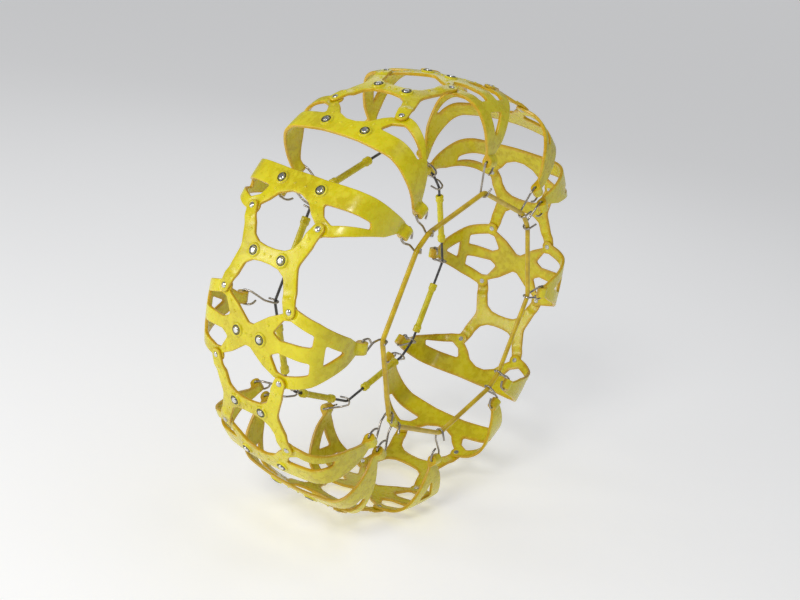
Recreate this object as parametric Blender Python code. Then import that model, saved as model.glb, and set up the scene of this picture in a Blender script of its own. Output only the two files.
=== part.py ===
"""A moulded TPU tyre snow chain, in the shape it takes on a 205/55 R16 tyre.

Four sections go round the tyre. Each is a centre panel, two X-shaped link panels and two end panels,
riveted together where their bosses lap. Every centre and end panel reaches down both sidewalls to a barrel
that carries a wire hook. The outer hooks hold an elastic cord, and the inner hooks hold a steel cable with
TPU sleeves.

The wheel's centre is the origin, +Y is its axis towards the car, and +Z is up. Lengths below are millimetres.
Panels are drawn flat as (along, across): along the tread from the panel's own row, and across from the
tread's centre line, and then wrapped onto the tyre's cross-section. Angles round the wheel start at -X and
go up over the top.
"""

import math

import bmesh
import bpy
from mathutils import Matrix, Vector
from mathutils.geometry import delaunay_2d_cdt

MM = 0.001

# The outer face of the fitted panels: its radius on the centre line, and the arcs of its cross-section
# (length, bend radius) over the crown, the shoulder and the sidewall
TREAD_RADIUS = 322.0
PROFILE_ARCS = ((74.0, 420.0), (36.0, 36.0), (100.0, 97.0))
THICKNESS = 4.5

# Rows of a section, as distances along the tread from the section's middle
LINK_ROW = 104.0
END_ROW = 202.8
SECTION_ANGLES = {"section1": 0.0, "section2": 90.0, "section3": 180.0, "section4": 270.0}

# Rivets: distance across, and along from the section's middle
RIVET_ACROSS = 55.3
INNER_RIVET_ALONG = 48.0
OUTER_RIVET_ALONG = 156.0
BOSS_RADIUS = 10.0
ARM_END_RADIUS = 8.5
ARM_HALF_WIDTH = 9.5
LAP_TOP = -1.3          # outer face of a thinned boss
LAP_GAP = 0.4           # between the boss and the link arm on it
ARM_LIFT = 2.6          # how far a link arm's outer face stands up over a boss

# Barrel at each panel's tip, and the wire hook in it
TIP_ACROSS = 179.5
TIP_HEIGHT = 2.6
END_TIP_ALONG = 23.7    # from the end row
STRAP_END_ACROSS = 178.0
STRAP_END_HALF = 12.5
BARREL_RADIUS = 7.6
BARREL_LENGTH = 16.0
BORE_RADIUS = 2.2
WIRE_RADIUS = 1.5
LEG_OFFSET = 10.4       # from the barrel's middle to each leg of the wire
HOOK_REACH = 43.0       # from the bore down to the middle of the hook's bend
HOOK_BEND = 6.0         # radius of the wire's centre line round the cord

CORD_RADIUS = 3.5
CABLE_RADIUS = 2.0
CABLE_DROP = 1.6        # the thinner cable sits lower in the hook than its middle
INNER_LEAN = 55.0       # degrees: the inner hooks lie along the lower sidewall, towards the bead
SLEEVE_LENGTH = 84.0
SLEEVE_SHIFT = 12.0      # from its span's middle towards the section's end
KNOB_LENGTH = 12.0

MESH_SAG = 0.9          # how far a flat facet may stand off the curve it follows
LONGEST_EDGE = 34.0
GRID_ROOM = 12.0        # between the grid's points and the others, so that none falls on the flat pad
FLAT_PAD = 8.0          # half the side of the square pad that bears on the tread


# ---------------------------------------------------------------- the tyre's shape

def cross_section(across):
    """Half width, radius and slope of the panels' outer face, across from the centre line."""
    half_width, radius, slope, left = 0.0, TREAD_RADIUS, 0.0, abs(across)
    for length, bend in PROFILE_ARCS:
        step = min(left, length)
        turned = slope + step / bend
        half_width += bend * (math.sin(turned) - math.sin(slope))
        radius += bend * (math.cos(turned) - math.cos(slope))
        slope = turned
        left -= step
    return half_width, radius, slope


def wrap(along, across, height):
    """A flat point, at a height over the outer face, as a place on a section whose middle is at -X."""
    half_width, radius, slope = cross_section(across)
    angle = along / TREAD_RADIUS
    side = math.copysign(1.0, across)
    r = radius + height * math.cos(slope)
    y = side * (half_width + height * math.sin(slope))
    return Vector((-r * math.cos(angle), y, r * math.sin(angle))) * MM


def turn(degrees):
    """The rotation that carries a section from -X to its place round the wheel."""
    return Matrix.Rotation(math.radians(degrees), 4, "Y")


# ---------------------------------------------------------------- flat outlines

def arc(centre, radius, start, end, steps):
    """Points on a circle from one bearing to another, in degrees."""
    bearings = [math.radians(start + (end - start) * i / steps) for i in range(steps + 1)]
    return [(centre[0] + radius * math.cos(b), centre[1] + radius * math.sin(b), 0.0) for b in bearings]


def rounded(corners):
    """Closed outline through (along, across, fillet) corners, each cut by a flat that follows its fillet."""
    outline = []
    for i, (x, y, fillet) in enumerate(corners):
        here = Vector((x, y))
        if not fillet:
            outline.append(here)
            continue
        before = Vector(corners[i - 1][:2]) - here
        after = Vector(corners[(i + 1) % len(corners)][:2]) - here
        half = before.angle(after) / 2
        reach = min(fillet / math.tan(half), before.length * 0.45, after.length * 0.45)
        start, end = here + before.normalized() * reach * 0.8, here + after.normalized() * reach * 0.8
        outline += [start, end]
    return outline


def edge_across(across):
    """The longest edge across the tread that keeps to the sag, from the bend of the arc it lies on."""
    left = abs(across)
    for length, bend in PROFILE_ARCS:
        if left <= length:
            break
        left -= length
    return min(LONGEST_EDGE, math.sqrt(8 * MESH_SAG * bend))


def divided(outline):
    """The outline with extra points wherever an edge is too long for the curve it follows."""
    points = []
    for a, b in zip(outline, outline[1:] + outline[:1]):
        step = edge_across((a.y + b.y) / 2)
        count = max(1, math.ceil(max(abs(b.x - a.x) / LONGEST_EDGE, abs(b.y - a.y) / step)))
        points += [a.lerp(b, k / count) for k in range(count)]
    return points


def mirrored_across(corners):
    """The corners of one side followed by their mirror images on the other side of the centre line."""
    return corners + [(x, -y, fillet) for x, y, fillet in reversed(corners)]


def mirrored_along(corners):
    return corners + [(-x, y, fillet) for x, y, fillet in reversed(corners)]


def end_panel_outlines():
    """End panel: a band across the tread, a boss towards the link panel and a tab down each sidewall."""
    rivet = (OUTER_RIVET_ALONG - END_ROW, RIVET_ACROSS)
    tip = END_TIP_ALONG
    half = [(-12.5, 8.0, 10), (-20.0, 25.0, 8), (-32.0, 35.0, 8)]
    half += arc(rivet, BOSS_RADIUS, -60, -230, 5)
    half += [(-49.0, 76.0, 12), (-37.0, 101.0, 20), (-12.0, 144.0, 20)]
    half += [(tip - STRAP_END_HALF, 172.0, 6), (tip - STRAP_END_HALF, STRAP_END_ACROSS, 0)]
    half += [(tip + STRAP_END_HALF, STRAP_END_ACROSS, 0), (tip + STRAP_END_HALF, 168.0, 6)]
    half += [(29.0, 138.0, 25), (20.0, 84.0, 25), (16.0, 30.0, 20)]
    window = [(-14.0, 45.0, 4), (-8.5, 113.0, 3), (-16.0, 118.0, 3), (-36.0, 68.0, 6), (-29.0, 53.0, 6)]
    other_window = [(x, -y, fillet) for x, y, fillet in window]
    return mirrored_across(half), [window, other_window], [rivet]


def centre_panel_outlines():
    """Centre panel: a hub, four arms to the bosses, and a triangular tab down each sidewall."""
    rivet = (INNER_RIVET_ALONG, RIVET_ACROSS)
    quarter = [(15.5, 4.0, 5), (33.0, 27.0, 12), (41.0, 42.0, 8)]
    quarter += arc(rivet, BOSS_RADIUS, -115, 55, 5)
    quarter += [(50.5, 76.0, 10), (45.0, 98.0, 20), (24.0, 152.0, 20)]
    quarter += [(STRAP_END_HALF, 171.0, 5), (STRAP_END_HALF, STRAP_END_ACROSS, 0)]
    side_window = [(8.5, 49.0, 4), (15.0, 37.0, 4), (35.0, 49.0, 5), (37.0, 60.0, 5), (27.5, 94.0, 4)]
    side_window += [(11.0, 94.0, 4)]
    tip_window = [(15.5, 112.0, 3), (0.0, 146.0, 4), (-15.5, 112.0, 3)]
    windows = [tip_window, [(x, -y, fillet) for x, y, fillet in tip_window]]
    for sx in (1, -1):
        windows += [[(sx * x, sy * y, fillet) for x, y, fillet in side_window] for sy in (1, -1)]
    return mirrored_across(mirrored_along(quarter)), windows, [rivet, (-rivet[0], rivet[1])]


def link_arm(rivet, root):
    """One arm of a link panel: both its edges and its round end, from the edge nearer the centre line."""
    reach = Vector(root) - Vector(rivet)
    reach.normalize()
    inward = Vector((reach.y, -reach.x)) if reach.x < 0 else Vector((-reach.y, reach.x))
    if inward.y > 0:
        inward.negate()
    near = [Vector(rivet) + reach * d + inward * ARM_HALF_WIDTH for d in (25.0, 14.0)]
    far = [Vector(rivet) + reach * d - inward * ARM_HALF_WIDTH for d in (14.0, 25.0)]
    start = math.degrees(math.atan2(inward.y, inward.x))
    sweep = 180.0 if reach.x < 0 else -180.0
    end = arc(rivet, ARM_END_RADIUS, start, start + sweep, 4)
    return [(p.x, p.y, 0.0) for p in near] + end + [(p.x, p.y, 0.0) for p in far]


def link_panel_outlines():
    """Link panel: a waist across the tread's middle and four arms that lap onto the neighbours' bosses."""
    outer = (OUTER_RIVET_ALONG - LINK_ROW, RIVET_ACROSS)
    inner = (INNER_RIVET_ALONG - LINK_ROW, RIVET_ACROSS)
    half = [(11.0, 8.0, 10), (13.0, 22.0, 8), (20.0, 33.0, 8)]
    half += link_arm(outer, (24.0, 46.0))
    half += [(0.0, 48.0, 20)]
    half += list(reversed(link_arm(inner, (-26.0, 46.0))))
    half += [(-19.0, 33.0, 8), (-12.0, 22.0, 8), (-10.0, 8.0, 10)]
    return mirrored_across(half), [], [outer, inner]


# ---------------------------------------------------------------- panel heights

def blend(value, low, high):
    """0 below low, 1 above high and a straight ramp between."""
    return min(1.0, max(0.0, (value - low) / (high - low)))


def nearest_rivet(point, rivets):
    return min((point - Vector((x, side * y))).length for x, y in rivets for side in (1, -1))


def boss_heights(point, rivets):
    """Inner and outer face of a panel that is thinned at its bosses."""
    return -THICKNESS, LAP_TOP * (1 - blend(nearest_rivet(point, rivets), BOSS_RADIUS + 0.2, 13.0))


def arm_heights(point, rivets):
    """Inner and outer face of a link panel, whose arms rise over the bosses."""
    away = blend(nearest_rivet(point, rivets), 15.5, 25.0)
    inner = LAP_TOP + LAP_GAP
    return inner + (-THICKNESS - inner) * away, ARM_LIFT * (1 - away)


# ---------------------------------------------------------------- panel meshes

def inside(point, outline):
    """Whether a point is inside a closed outline, by counting the edges to its right."""
    crossings = 0
    for a, b in zip(outline, outline[1:] + outline[:1]):
        if (a.y > point.y) != (b.y > point.y):
            crossings += point.x < a.x + (point.y - a.y) * (b.x - a.x) / (b.y - a.y)
    return crossings % 2 == 1


def inner_points(outline, windows, rivets, flat_pad):
    """Points inside the panel: a grid for the tyre's curve, rings round the bosses and the pad's corners."""
    chosen = []
    fixed = []
    for x, y in rivets:
        for side in (1, -1):
            centre = Vector((x, side * y))
            fixed.append(centre)
            for radius in (9.4, 13.0):
                fixed += [Vector(p[:2]) for p in arc(centre, radius, 0, 300, 5)]
    fixed += [Vector((x, y)) for x in (-flat_pad, flat_pad) for y in (-flat_pad, flat_pad) if flat_pad]
    rows = [0.0]
    while rows[-1] < STRAP_END_ACROSS:
        rows.append(rows[-1] + edge_across(rows[-1]))
    rows += [-across for across in rows[1:]]
    grid = [Vector((LONGEST_EDGE * i / 2, across)) for across in rows for i in range(-5, 6)]
    loops = [outline] + windows
    for number, point in enumerate(fixed + grid):
        if not inside(point, outline) or any(inside(point, window) for window in windows):
            continue
        room = 2.0 if number < len(fixed) else 8.0
        if min((point - p).length for loop in loops for p in loop) < room:
            continue
        if number >= len(fixed) and chosen and min((point - p).length for p in chosen) < GRID_ROOM:
            continue
        chosen.append(point)
    return chosen


def panel_mesh(name, outlines, row, heights, flat_pad=0.0):
    """A closed mesh of a panel wrapped on the tyre, its row at a distance along from the section's middle."""
    corners, window_corners, rivets = outlines
    outline = divided(rounded(corners))
    windows = [divided(rounded(w)) for w in window_corners]
    points, edges = [], []
    for loop in [outline] + windows:
        first = len(points)
        points += loop
        edges += [(first + i, first + (i + 1) % len(loop)) for i in range(len(loop))]
    points += inner_points(outline, windows, rivets, flat_pad)
    flat, _, faces, *_ = delaunay_2d_cdt(points, edges, [], 1, 1e-5)
    middles = [sum((flat[i] for i in face), Vector((0.0, 0.0))) / len(face) for face in faces]
    faces = [f for f, middle in zip(faces, middles) if not any(inside(middle, w) for w in windows)]
    bm = bmesh.new()
    sides = []
    for face_of_pair in (1, 0):
        sides.append([bm.verts.new(wrap(row + p.x, p.y, heights(p, rivets)[face_of_pair])) for p in flat])
    used = {}
    for face in faces:
        bm.faces.new([sides[0][i] for i in face])
        bm.faces.new([sides[1][i] for i in reversed(face)])
        for a, b in zip(face, face[1:] + face[:1]):
            used[(a, b)] = used.get((a, b), 0) + 1
    for a, b in used:
        if (b, a) not in used:
            bm.faces.new([sides[0][b], sides[0][a], sides[1][a], sides[1][b]])
    bmesh.ops.recalc_face_normals(bm, faces=bm.faces)
    bmesh.ops.triangulate(bm, faces=bm.faces)
    mesh = bpy.data.meshes.new(name)
    bm.to_mesh(mesh)
    bm.free()
    return mesh


def turned_mesh(name, profile, bore, sides):
    """A tube along local X: an outer profile of (x, radius) points and a plain bore."""
    loop = [(x, radius) for x, radius in profile] + [(profile[-1][0], bore), (profile[0][0], bore)]
    bm = bmesh.new()
    rings = []
    for x, radius in loop:
        turns = [2 * math.pi * k / sides for k in range(sides)]
        circle = [Vector((x, radius * math.cos(t), radius * math.sin(t))) for t in turns]
        rings.append([bm.verts.new(point * MM) for point in circle])
    for ring, following in zip(rings, rings[1:] + rings[:1]):
        for k in range(sides):
            bm.faces.new([ring[k], ring[(k + 1) % sides], following[(k + 1) % sides], following[k]])
    bmesh.ops.recalc_face_normals(bm, faces=bm.faces)
    mesh = bpy.data.meshes.new(name)
    bm.to_mesh(mesh)
    bm.free()
    return mesh


# ---------------------------------------------------------------- materials and placing

def material(name, colour, roughness, metallic):
    made = bpy.data.materials.new(name)
    made.use_nodes = True
    shader = made.node_tree.nodes["Principled BSDF"]
    shader.inputs["Base Color"].default_value = (*colour, 1.0)
    shader.inputs["Roughness"].default_value = roughness
    shader.inputs["Metallic"].default_value = metallic
    return made


def place(name, data, finish, matrix):
    """A named object from a mesh or curve, with its finish and its place."""
    piece = bpy.data.objects.new(name, data)
    bpy.context.scene.collection.objects.link(piece)
    piece.matrix_world = matrix
    if not data.materials:
        data.materials.append(finish)
    return piece


def tip_frame(along, side):
    """The frame of a tip's bore: X along it, Y away from the tyre's side, Z out from the wheel's axis."""
    angle = along / TREAD_RADIUS
    tangent = Vector((math.sin(angle), 0.0, math.cos(angle))) * side
    outward = Vector((-math.cos(angle), 0.0, math.sin(angle)))
    away = Vector((0.0, side, 0.0))
    columns = Matrix((tangent, away, outward)).transposed()
    return Matrix.Translation(wrap(along, side * TIP_ACROSS, TIP_HEIGHT)) @ columns.to_4x4()


def with_barrels(mesh, tip_along):
    """The panel's mesh joined with the bored barrel at the end of each of its tabs."""
    half = BARREL_LENGTH / 2
    profile = [(-half, BARREL_RADIUS), (half, BARREL_RADIUS)]
    panel = bpy.data.objects.new("panel", mesh)
    bpy.context.scene.collection.objects.link(panel)
    barrels = []
    for side in (1, -1):
        barrel = bpy.data.objects.new("barrel", turned_mesh("barrel", profile, BORE_RADIUS, 8))
        bpy.context.scene.collection.objects.link(barrel)
        barrel.matrix_world = tip_frame(tip_along, side)
        join = panel.modifiers.new("join", "BOOLEAN")
        join.operation = "UNION"
        join.object = barrel
        barrels.append(barrel)
    evaluated = panel.evaluated_get(bpy.context.evaluated_depsgraph_get())
    joined = bpy.data.meshes.new_from_object(evaluated)
    for helper in [panel] + barrels:
        bpy.data.objects.remove(helper)
    return joined


# ---------------------------------------------------------------- wires and cords

def wire_curve(name, points, radius, resolution, closed=False):
    curve = bpy.data.curves.new(name, "CURVE")
    curve.dimensions = "3D"
    curve.bevel_depth = radius * MM
    curve.bevel_resolution = resolution
    curve.use_fill_caps = not closed
    spline = curve.splines.new("POLY")
    spline.points.add(len(points) - 1)
    for control, point in zip(spline.points, points):
        control.co = (*(Vector(point) * MM), 1.0)
    spline.use_cyclic_u = closed
    return curve


def hook_path():
    """The hook's wire in the bore's frame: a short leg, the bore, a long leg and the bend round the cord."""
    path = [(-3.0, 0.0, -18.5), (-8.0, 0.0, -15.0), (-LEG_OFFSET, 0.0, -10.0), (-LEG_OFFSET, 0.0, -1.6)]
    path += [(-LEG_OFFSET + 1.6, 0.0, 0.0), (LEG_OFFSET - 1.6, 0.0, 0.0), (LEG_OFFSET, 0.0, -1.6)]
    path += [(LEG_OFFSET - 1.0, -1.0, -11.0), (1.0, -HOOK_BEND + 0.6, -31.0)]
    for bearing in range(180, 361, 45):
        turned = math.radians(bearing)
        path.append((0.0, HOOK_BEND * math.cos(turned), -HOOK_REACH + HOOK_BEND * math.sin(turned)))
    path += [(0.0, HOOK_BEND + 4.0, -HOOK_REACH + 8.0)]
    return path


def tip_alongs():
    return (-END_ROW - END_TIP_ALONG, 0.0, END_ROW + END_TIP_ALONG)


def hook_frame(along, side):
    """A hook's frame: its tip's, with an inner hook leaning in towards the bead."""
    lean = INNER_LEAN if side > 0 else 0.0
    return tip_frame(along, side) @ Matrix.Rotation(math.radians(-lean), 4, "X")


def ring_corners(side, drop):
    """Where the hooks hold a cord or cable: one corner for each tip round the wheel, in order."""
    corners = []
    for angle in SECTION_ANGLES.values():
        for along in tip_alongs():
            frame = turn(angle) @ hook_frame(along, side)
            corners.append(frame @ (Vector((0.0, 0.0, -HOOK_REACH - drop)) * MM) / MM)
    return corners


def softened(corners, cut):
    """The closed polygon with each corner cut by a short three-point bend."""
    points = []
    count = len(corners)
    for i, corner in enumerate(corners):
        before = (corners[i - 1] - corner).normalized() * cut
        after = (corners[(i + 1) % count] - corner).normalized() * cut
        points += [corner + before, corner + (before + after) * 0.2, corner + after]
    return points


def span_frame(start, end):
    """The middle of a straight span, with X along it."""
    along = (end - start).normalized()
    away = Vector((0.0, 1.0, 0.0))
    columns = Matrix((along, away, along.cross(away))).transposed()
    return Matrix.Translation((start + end) / 2 * MM) @ columns.to_4x4()


# ---------------------------------------------------------------- the chain

def make_panels(yellow):
    """Five panels for each section; the second of each pair is the first one mirrored along the tread."""
    centre = panel_mesh("centre_panel", centre_panel_outlines(), 0.0, boss_heights, FLAT_PAD)
    centre = with_barrels(centre, 0.0)
    link = panel_mesh("link_panel", link_panel_outlines(), LINK_ROW, arm_heights)
    end = panel_mesh("end_panel", end_panel_outlines(), END_ROW, boss_heights)
    end = with_barrels(end, END_ROW + END_TIP_ALONG)
    shapes = {"centre_panel": centre, "link_panel_2": link, "end_panel_2": end}
    for name in ("link_panel", "end_panel"):
        mirrored = shapes[name + "_2"].copy()
        mirrored.transform(Matrix.Scale(-1, 4, (0.0, 0.0, 1.0)))
        mirrored.flip_normals()
        shapes[name + "_1"] = mirrored
    for section, angle in SECTION_ANGLES.items():
        for name, mesh in shapes.items():
            place(f"{section}_{name}", mesh, yellow, turn(angle))


def make_hooks(steel):
    path = hook_path()
    curve = wire_curve("hook", path, WIRE_RADIUS, 1)
    for section, angle in SECTION_ANGLES.items():
        for number, along in enumerate(tip_alongs(), 1):
            for face, side in (("outer", -1), ("inner", 1)):
                place(f"{section}_{face}_hook_{number}", curve, steel, turn(angle) @ hook_frame(along, side))


def make_outer_cord(yellow):
    corners = ring_corners(-1, 0.0)
    cord = wire_curve("cord", softened(corners, 5.0), CORD_RADIUS, 2, True)
    place("outer_tension_cord", cord, yellow, Matrix())
    profile = [(-7.0, 5.4), (-5.5, 6.2), (5.5, 6.2), (7.0, 5.4)]
    joiner = turned_mesh("joiner", profile, CORD_RADIUS + 0.7, 10)
    place("outer_cord_joiner", joiner, yellow, span_frame(corners[-1], corners[0]))


def make_inner_cable(cable_grey, yellow, steel):
    corners = ring_corners(1, CABLE_DROP)
    cable = wire_curve("cable", softened(corners, 4.0), CABLE_RADIUS, 1, True)
    place("inner_cable", cable, cable_grey, Matrix())
    coupler = turned_mesh("coupler", [(-8.0, 3.9), (8.0, 3.9)], CABLE_RADIUS + 0.7, 8)
    place("inner_cable_coupler", coupler, steel, span_frame(corners[-1], corners[0]))
    half, knob = SLEEVE_LENGTH / 2, SLEEVE_LENGTH / 2 - KNOB_LENGTH
    side = [(half, 5.2), (half - 1.5, 6.5), (knob + 2.0, 6.5), (knob, 4.8)]
    profile = [(-x, radius) for x, radius in side] + list(reversed(side))
    sleeve = turned_mesh("sleeve", profile, CABLE_RADIUS + 0.7, 8)
    number = 0
    for i, (start, end) in enumerate(zip(corners, corners[1:] + corners[:1])):
        if i % 3 == 2:
            continue        # the short span between two sections has no sleeve
        number += 1
        shift = -SLEEVE_SHIFT if i % 3 == 0 else SLEEVE_SHIFT
        frame = span_frame(start, end) @ Matrix.Translation((shift * MM, 0.0, 0.0))
        place(f"inner_sleeve_{number}", sleeve, yellow, frame)


def main():
    for old in list(bpy.data.objects):
        bpy.data.objects.remove(old)
    yellow = material("tpu_yellow", (0.93, 0.74, 0.02), 0.32, 0.0)
    steel = material("plated_steel", (0.62, 0.60, 0.56), 0.3, 1.0)
    cable_grey = material("coated_cable", (0.10, 0.10, 0.11), 0.45, 0.0)
    make_panels(yellow)
    make_hooks(steel)
    make_outer_cord(yellow)
    make_inner_cable(cable_grey, yellow, steel)


main()
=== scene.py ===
"""The looks of a moulded TPU tyre snow chain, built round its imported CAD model.

The plain CAD panels, hooks and cords are replaced by fine ones of the same size in the same places, and the
studs, rivets and small moulded details are added. Lengths are millimetres until a point is placed, where MM
turns them into metres. The wheel's centre is the origin, +Y is its axis towards the car, and +Z is up.
Panels are drawn flat as (along, across) from their own row and the tread's centre line, and then wrapped.
"""

import math

import bmesh
import bpy
from mathutils import Matrix, Vector
from mathutils.geometry import delaunay_2d_cdt
from mathutils.kdtree import KDTree


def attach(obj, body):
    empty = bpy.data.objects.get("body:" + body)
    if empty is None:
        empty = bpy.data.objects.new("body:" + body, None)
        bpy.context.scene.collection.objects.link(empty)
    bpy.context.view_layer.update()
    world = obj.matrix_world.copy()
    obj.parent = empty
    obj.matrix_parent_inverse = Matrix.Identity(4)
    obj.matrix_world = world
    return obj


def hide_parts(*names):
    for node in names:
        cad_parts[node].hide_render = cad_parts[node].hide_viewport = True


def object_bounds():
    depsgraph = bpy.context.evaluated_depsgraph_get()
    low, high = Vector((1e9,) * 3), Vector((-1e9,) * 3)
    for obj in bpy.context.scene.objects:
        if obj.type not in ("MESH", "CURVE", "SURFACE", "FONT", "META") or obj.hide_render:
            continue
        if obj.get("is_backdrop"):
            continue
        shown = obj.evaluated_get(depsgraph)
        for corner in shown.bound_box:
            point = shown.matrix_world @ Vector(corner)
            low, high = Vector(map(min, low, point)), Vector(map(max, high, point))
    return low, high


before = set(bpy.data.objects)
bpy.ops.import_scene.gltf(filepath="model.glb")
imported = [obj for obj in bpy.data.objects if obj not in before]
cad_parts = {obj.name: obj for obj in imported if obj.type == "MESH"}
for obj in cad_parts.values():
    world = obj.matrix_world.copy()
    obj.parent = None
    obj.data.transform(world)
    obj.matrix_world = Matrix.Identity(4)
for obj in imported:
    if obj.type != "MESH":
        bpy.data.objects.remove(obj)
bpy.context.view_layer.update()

MM = 0.001
ROOT = "chain"

# The outer face of the fitted panels: its radius on the centre line, and the arcs of its cross-section
# (length, bend radius) over the crown, the shoulder and the sidewall
TREAD_RADIUS = 322.0
PROFILE_ARCS = ((74.0, 420.0), (36.0, 36.0), (100.0, 97.0))
THICKNESS = 4.5

# Rows of a section, as distances along the tread from the section's middle
LINK_ROW = 104.0
END_ROW = 202.8
SECTION_ANGLES = {"section1": 0.0, "section2": 90.0, "section3": 180.0, "section4": 270.0}

# Rivets: distance across, and along from the section's middle
RIVET_ACROSS = 55.3
INNER_RIVET_ALONG = 48.0
OUTER_RIVET_ALONG = 156.0
BOSS_RADIUS = 10.0
ARM_END_RADIUS = 8.5
ARM_HALF_WIDTH = 9.5
LAP_TOP = -1.3          # outer face of a thinned boss
LAP_GAP = 0.4           # between the boss and the link arm on it
ARM_LIFT = 2.6          # how far a link arm's outer face stands up over a boss

# Studs: each row's distance across, and the raised boss round each of them
STUD_ACROSS = {"centre_panel": 19.8, "link_panel": 23.4, "end_panel": 32.0}
STUD_BOSS_HEIGHT = 2.0
STUD_BOSS_TOP = 8.6
STUD_BOSS_FOOT = 9.9
STUD_PIN_EDGE = 4.2     # between the bright pin and the collar, painted dark for shade
PIP_HEIGHT = 1.2
PIP_RADIUS = 1.9

# Barrel at each panel's tip, and the wire hook in it
TIP_ACROSS = 179.5
TIP_HEIGHT = 2.6
END_TIP_ALONG = 23.7    # from the end row
STRAP_END_HALF = 12.5
BARREL_RADIUS = 7.6
BARREL_HALF = 11.3      # along the tread, which is 8 mm at the barrel's own radius
BARREL_END_ACROSS = 186.7
BORE_RADIUS = 2.2
WIRE_RADIUS = 1.5
LEG_OFFSET = 10.4       # from the barrel's middle to each leg of the wire
HOOK_REACH = 43.0       # from the bore down to the middle of the hook's bend
HOOK_BEND = 6.0         # radius of the wire's centre line round the cord

CORD_RADIUS = 3.5
CABLE_RADIUS = 2.0
CABLE_DROP = 1.6        # the thinner cable sits lower in the hook than its middle
INNER_LEAN = 55.0       # degrees: the inner hooks lie along the lower sidewall, towards the bead
SLEEVE_LENGTH = 84.0
SLEEVE_SHIFT = 12.0      # from its span's middle towards the section's end
KNOB_LENGTH = 12.0

# How finely the panels are meshed
OUTLINE_STEP = 2.4
GRID_STEP = 4.2
EDGE_ROUND = 1.3        # outer edges
INNER_ROUND = 0.6       # edges against the tyre


# ---------------------------------------------------------------- camera, light and floor

def make_camera():
    """The photograph's viewpoint: its bearing, height and roll, and the point in the wheel it looks at."""
    bearing, height, roll = math.radians(-55.656), math.radians(18.289), math.radians(-9.513)
    aim, distance = Vector((-0.0036, 0.0, -0.0089)), 1.7327
    back = Vector((math.sin(bearing), -math.cos(bearing), 0.0)) * math.cos(height)
    back.z = math.sin(height)
    level = Vector((math.cos(bearing), math.sin(bearing), 0.0))
    upright = back.cross(level)
    right = level * math.cos(roll) - upright * math.sin(roll)
    up = level * math.sin(roll) + upright * math.cos(roll)
    data = bpy.data.cameras.new("camera")
    data.lens = 53.37
    data.sensor_width = 36.0
    camera = bpy.data.objects.new("camera", data)
    bpy.context.scene.collection.objects.link(camera)
    turned = Matrix((right, up, back)).transposed().to_4x4()
    camera.matrix_world = Matrix.Translation(aim + back * distance) @ turned
    bpy.context.scene.camera = camera


def area_light(name, place, aim, size, power, colour):
    data = bpy.data.lights.new(name, "AREA")
    data.shape = "DISK"
    data.size = size
    data.energy = power
    data.color = colour
    light = bpy.data.objects.new(name, data)
    bpy.context.scene.collection.objects.link(light)
    light.location = place
    light.rotation_euler = (Vector(aim) - Vector(place)).to_track_quat("-Z", "Y").to_euler()


def make_studio():
    """A pale world and four soft lights, shown without a film-like tone curve."""
    bpy.context.scene.view_settings.view_transform = "Standard"
    world = bpy.data.worlds.new("studio")
    bpy.context.scene.world = world
    world.use_nodes = True
    sky = world.node_tree.nodes["Background"]
    sky.inputs["Color"].default_value = (0.93, 0.95, 1.0, 1.0)
    sky.inputs["Strength"].default_value = 0.24
    area_light("key_light", (-2.2, -0.4, 1.8), (0.0, 0.0, 0.0), 0.8, 29.0, (1.0, 0.99, 0.96))
    area_light("side_light", (-2.05, 1.4, 0.55), (-0.3, 0.0, 0.0), 1.0, 14.0, (1.0, 1.0, 1.0))
    area_light("top_light", (0.3, -0.6, 2.3), (0.0, 0.0, 0.0), 1.4, 6.0, (1.0, 1.0, 1.0))
    area_light("back_light", (1.8, 1.4, 1.5), (0.0, 0.0, 0.0), 1.4, 4.0, (0.94, 0.97, 1.0))


def make_floor(level):
    """A large pale floor, at the height of the lowest stud."""
    mesh = bpy.data.meshes.new("floor")
    half = 80.0
    corners = [(-half, -half, level), (half, -half, level), (half, half, level), (-half, half, level)]
    mesh.from_pydata(corners, [], [(0, 1, 2, 3)])
    floor = bpy.data.objects.new("floor", mesh)
    bpy.context.scene.collection.objects.link(floor)
    paint, _, shader = new_material("floor_paint", (0.88, 0.88, 0.88), 0.6, 0.0)
    shader.inputs["Emission Color"].default_value = (1.0, 1.0, 1.0, 1.0)
    shader.inputs["Emission Strength"].default_value = 0.34
    mesh.materials.append(paint)
    floor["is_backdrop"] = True


# ---------------------------------------------------------------- materials

def new_material(name, colour, roughness, metallic):
    """A material with its plain values on the shader, and its tree for what varies."""
    made = bpy.data.materials.new(name)
    made.use_nodes = True
    shader = made.node_tree.nodes["Principled BSDF"]
    shader.inputs["Base Color"].default_value = (*colour, 1.0)
    shader.inputs["Roughness"].default_value = roughness
    shader.inputs["Metallic"].default_value = metallic
    return made, made.node_tree, shader


def add(tree, kind, inputs, **settings):
    """A shader node with its settings, whose inputs are values or other nodes' sockets."""
    node = tree.nodes.new("ShaderNode" + kind)
    for key, value in settings.items():
        setattr(node, key, value)
    for key, value in inputs.items():
        if isinstance(value, bpy.types.NodeSocket):
            tree.links.new(value, node.inputs[key])
        else:
            node.inputs[key].default_value = value
    return node


def own_coordinates(tree):
    """The piece's own coordinates, shifted by a different amount on each piece."""
    place = add(tree, "TexCoord", {}).outputs["Object"]
    number = add(tree, "ObjectInfo", {}).outputs["Random"]
    shift = add(tree, "Math", {0: number, 1: 7.0}, operation="MULTIPLY").outputs[0]
    spread = add(tree, "CombineXYZ", {"X": shift, "Y": shift, "Z": shift}).outputs[0]
    return add(tree, "VectorMath", {0: place, 1: spread}, operation="ADD").outputs[0]


def noise(tree, place, scale, detail=2.0, roughness=0.5):
    inputs = {"Vector": place, "Scale": scale, "Detail": detail, "Roughness": roughness}
    return add(tree, "TexNoise", inputs).outputs["Fac"]


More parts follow.
